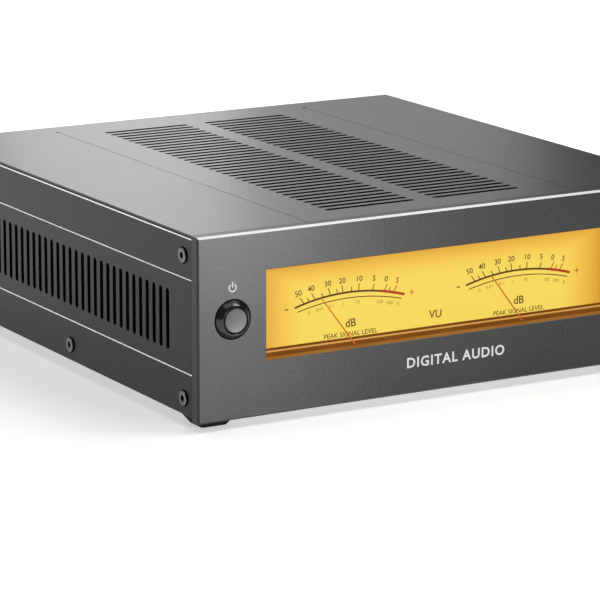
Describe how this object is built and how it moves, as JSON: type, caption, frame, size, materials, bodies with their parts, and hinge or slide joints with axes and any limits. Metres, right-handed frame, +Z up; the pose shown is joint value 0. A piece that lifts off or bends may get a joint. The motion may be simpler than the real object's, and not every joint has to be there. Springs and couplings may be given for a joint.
{
  "type": "desktop dac",
  "caption": "Flat desktop hi-fi converter in a slotted grey aluminium case, with back-lit amber level meters behind a front window and push buttons.",
  "frame": {"origin": "bottom centre of the bounding box, on the surface that the feet stand on", "axes": "+X to the right seen from the front, +Y from the front panel to the rear, +Z up"},
  "size_m": [0.2094, 0.225, 0.0701],
  "materials": {
    "case_metal": "bead blasted and anodised grey",
    "tray_steel": "plated sheet",
    "black_plastic": "moulded",
    "black_gloss": "polished",
    "button_metal": "satin, with a cut bright edge",
    "foot_rubber": "moulded",
    "screw_steel": "black zinc",
    "dial_amber": "translucent amber, lit from behind",
    "needle_orange": "painted",
    "lens_clear": "clear and polished",
    "circuit_board": "solder mask over laminate",
    "tube_glass": "clear with a dark getter patch",
    "transformer_wrap": "wound tape",
    "capacitor_sleeve": "shrink sleeve",
    "shield_metal": "tinned",
    "jack_gold": "gold plated"
  },
  "bodies": {
    "case": {"backlight_board": "circuit_board", "balanced_output_left": "black_plastic", "balanced_output_right": "black_plastic", "bottom_tray": "tray_steel", "capacitor_left": "capacitor_sleeve", "capacitor_right": "capacitor_sleeve", "coaxial_input": "jack_gold", "converter_shield": "shield_metal", "dial_plate": "dial_amber", "dial_rail": "dial_amber", "foot_front_left": "foot_rubber", "foot_front_right": "foot_rubber", "foot_rear_left": "foot_rubber", "foot_rear_right": "foot_rubber", "front_bracket_left": "tray_steel", "front_bracket_right": "tray_steel", "front_panel": "case_metal", "input_button_bezel": "black_gloss", "input_switch": "circuit_board", "left_side_panel": "case_metal", "line_output_left": "jack_gold", "line_output_right": "jack_gold", "main_board": "circuit_board", "mains_inlet": "black_plastic", "mains_switch_housing": "black_plastic", "meter_frame": "black_plastic", "meter_movement_left": "black_plastic", "meter_movement_right": "black_plastic", "optical_input": "black_plastic", "power_board": "circuit_board", "power_button_bezel": "black_gloss", "power_switch": "circuit_board", "rear_panel": "case_metal", "right_side_panel": "case_metal", "side_screw_left_bottom_front": "screw_steel", "side_screw_left_bottom_middle": "screw_steel", "side_screw_left_bottom_rear": "screw_steel", "side_screw_left_top_front": "screw_steel", "side_screw_left_top_rear": "screw_steel", "side_screw_right_bottom_front": "screw_steel", "side_screw_right_bottom_middle": "screw_steel", "side_screw_right_bottom_rear": "screw_steel", "side_screw_right_top_front": "screw_steel", "side_screw_right_top_rear": "screw_steel", "top_cover": "case_metal", "toroidal_transformer": "transformer_wrap", "transformer_clamp": "tray_steel", "tube_left": "tube_glass", "tube_right": "tube_glass", "tube_socket_left": "black_plastic", "tube_socket_right": "black_plastic", "usb_input": "shield_metal", "window_lens": "lens_clear"},
    "power_button": {"power_button": "button_metal"},
    "input_button": {"input_button": "button_metal"},
    "needle_left": {"needle_left": "needle_orange"},
    "needle_right": {"needle_right": "needle_orange"},
    "mains_rocker": {"mains_rocker": "black_plastic"},
    "optical_shutter": {"optical_shutter": "black_plastic"}
  },
  "joints": [
    {"name": "power_button_press", "type": "slide", "parent": "case", "child": "power_button", "axis": [0, 1, 0], "range_m": [0, 0.0012], "stiffness_N_per_m": 400, "springref_m": -0.002},
    {"name": "input_button_press", "type": "slide", "parent": "case", "child": "input_button", "axis": [0, 1, 0], "range_m": [0, 0.0012], "stiffness_N_per_m": 400, "springref_m": -0.002},
    {"name": "needle_left_swing", "type": "hinge", "parent": "case", "child": "needle_left", "pos_m": [-0.0337, -0.10015, 0.0211], "axis": [0, 1, 0], "range_deg": [-15, 88], "stiffness_Nm_per_rad": 0.00002},
    {"name": "needle_right_swing", "type": "hinge", "parent": "case", "child": "needle_right", "pos_m": [0.03875, -0.10015, 0.0211], "axis": [0, 1, 0], "range_deg": [-15, 88], "stiffness_Nm_per_rad": 0.00002},
    {"name": "mains_rocker_tilt", "type": "hinge", "parent": "case", "child": "mains_rocker", "pos_m": [0.068, 0.09955, 0.0244], "axis": [1, 0, 0], "range_deg": [0, 20]},
    {"name": "optical_shutter_swing", "type": "hinge", "parent": "case", "child": "optical_shutter", "pos_m": [0.028, 0.10305, 0.0241], "axis": [-1, 0, 0], "range_deg": [0, 80], "stiffness_Nm_per_rad": 0.0002, "springref_deg": -17.19}
  ]
}
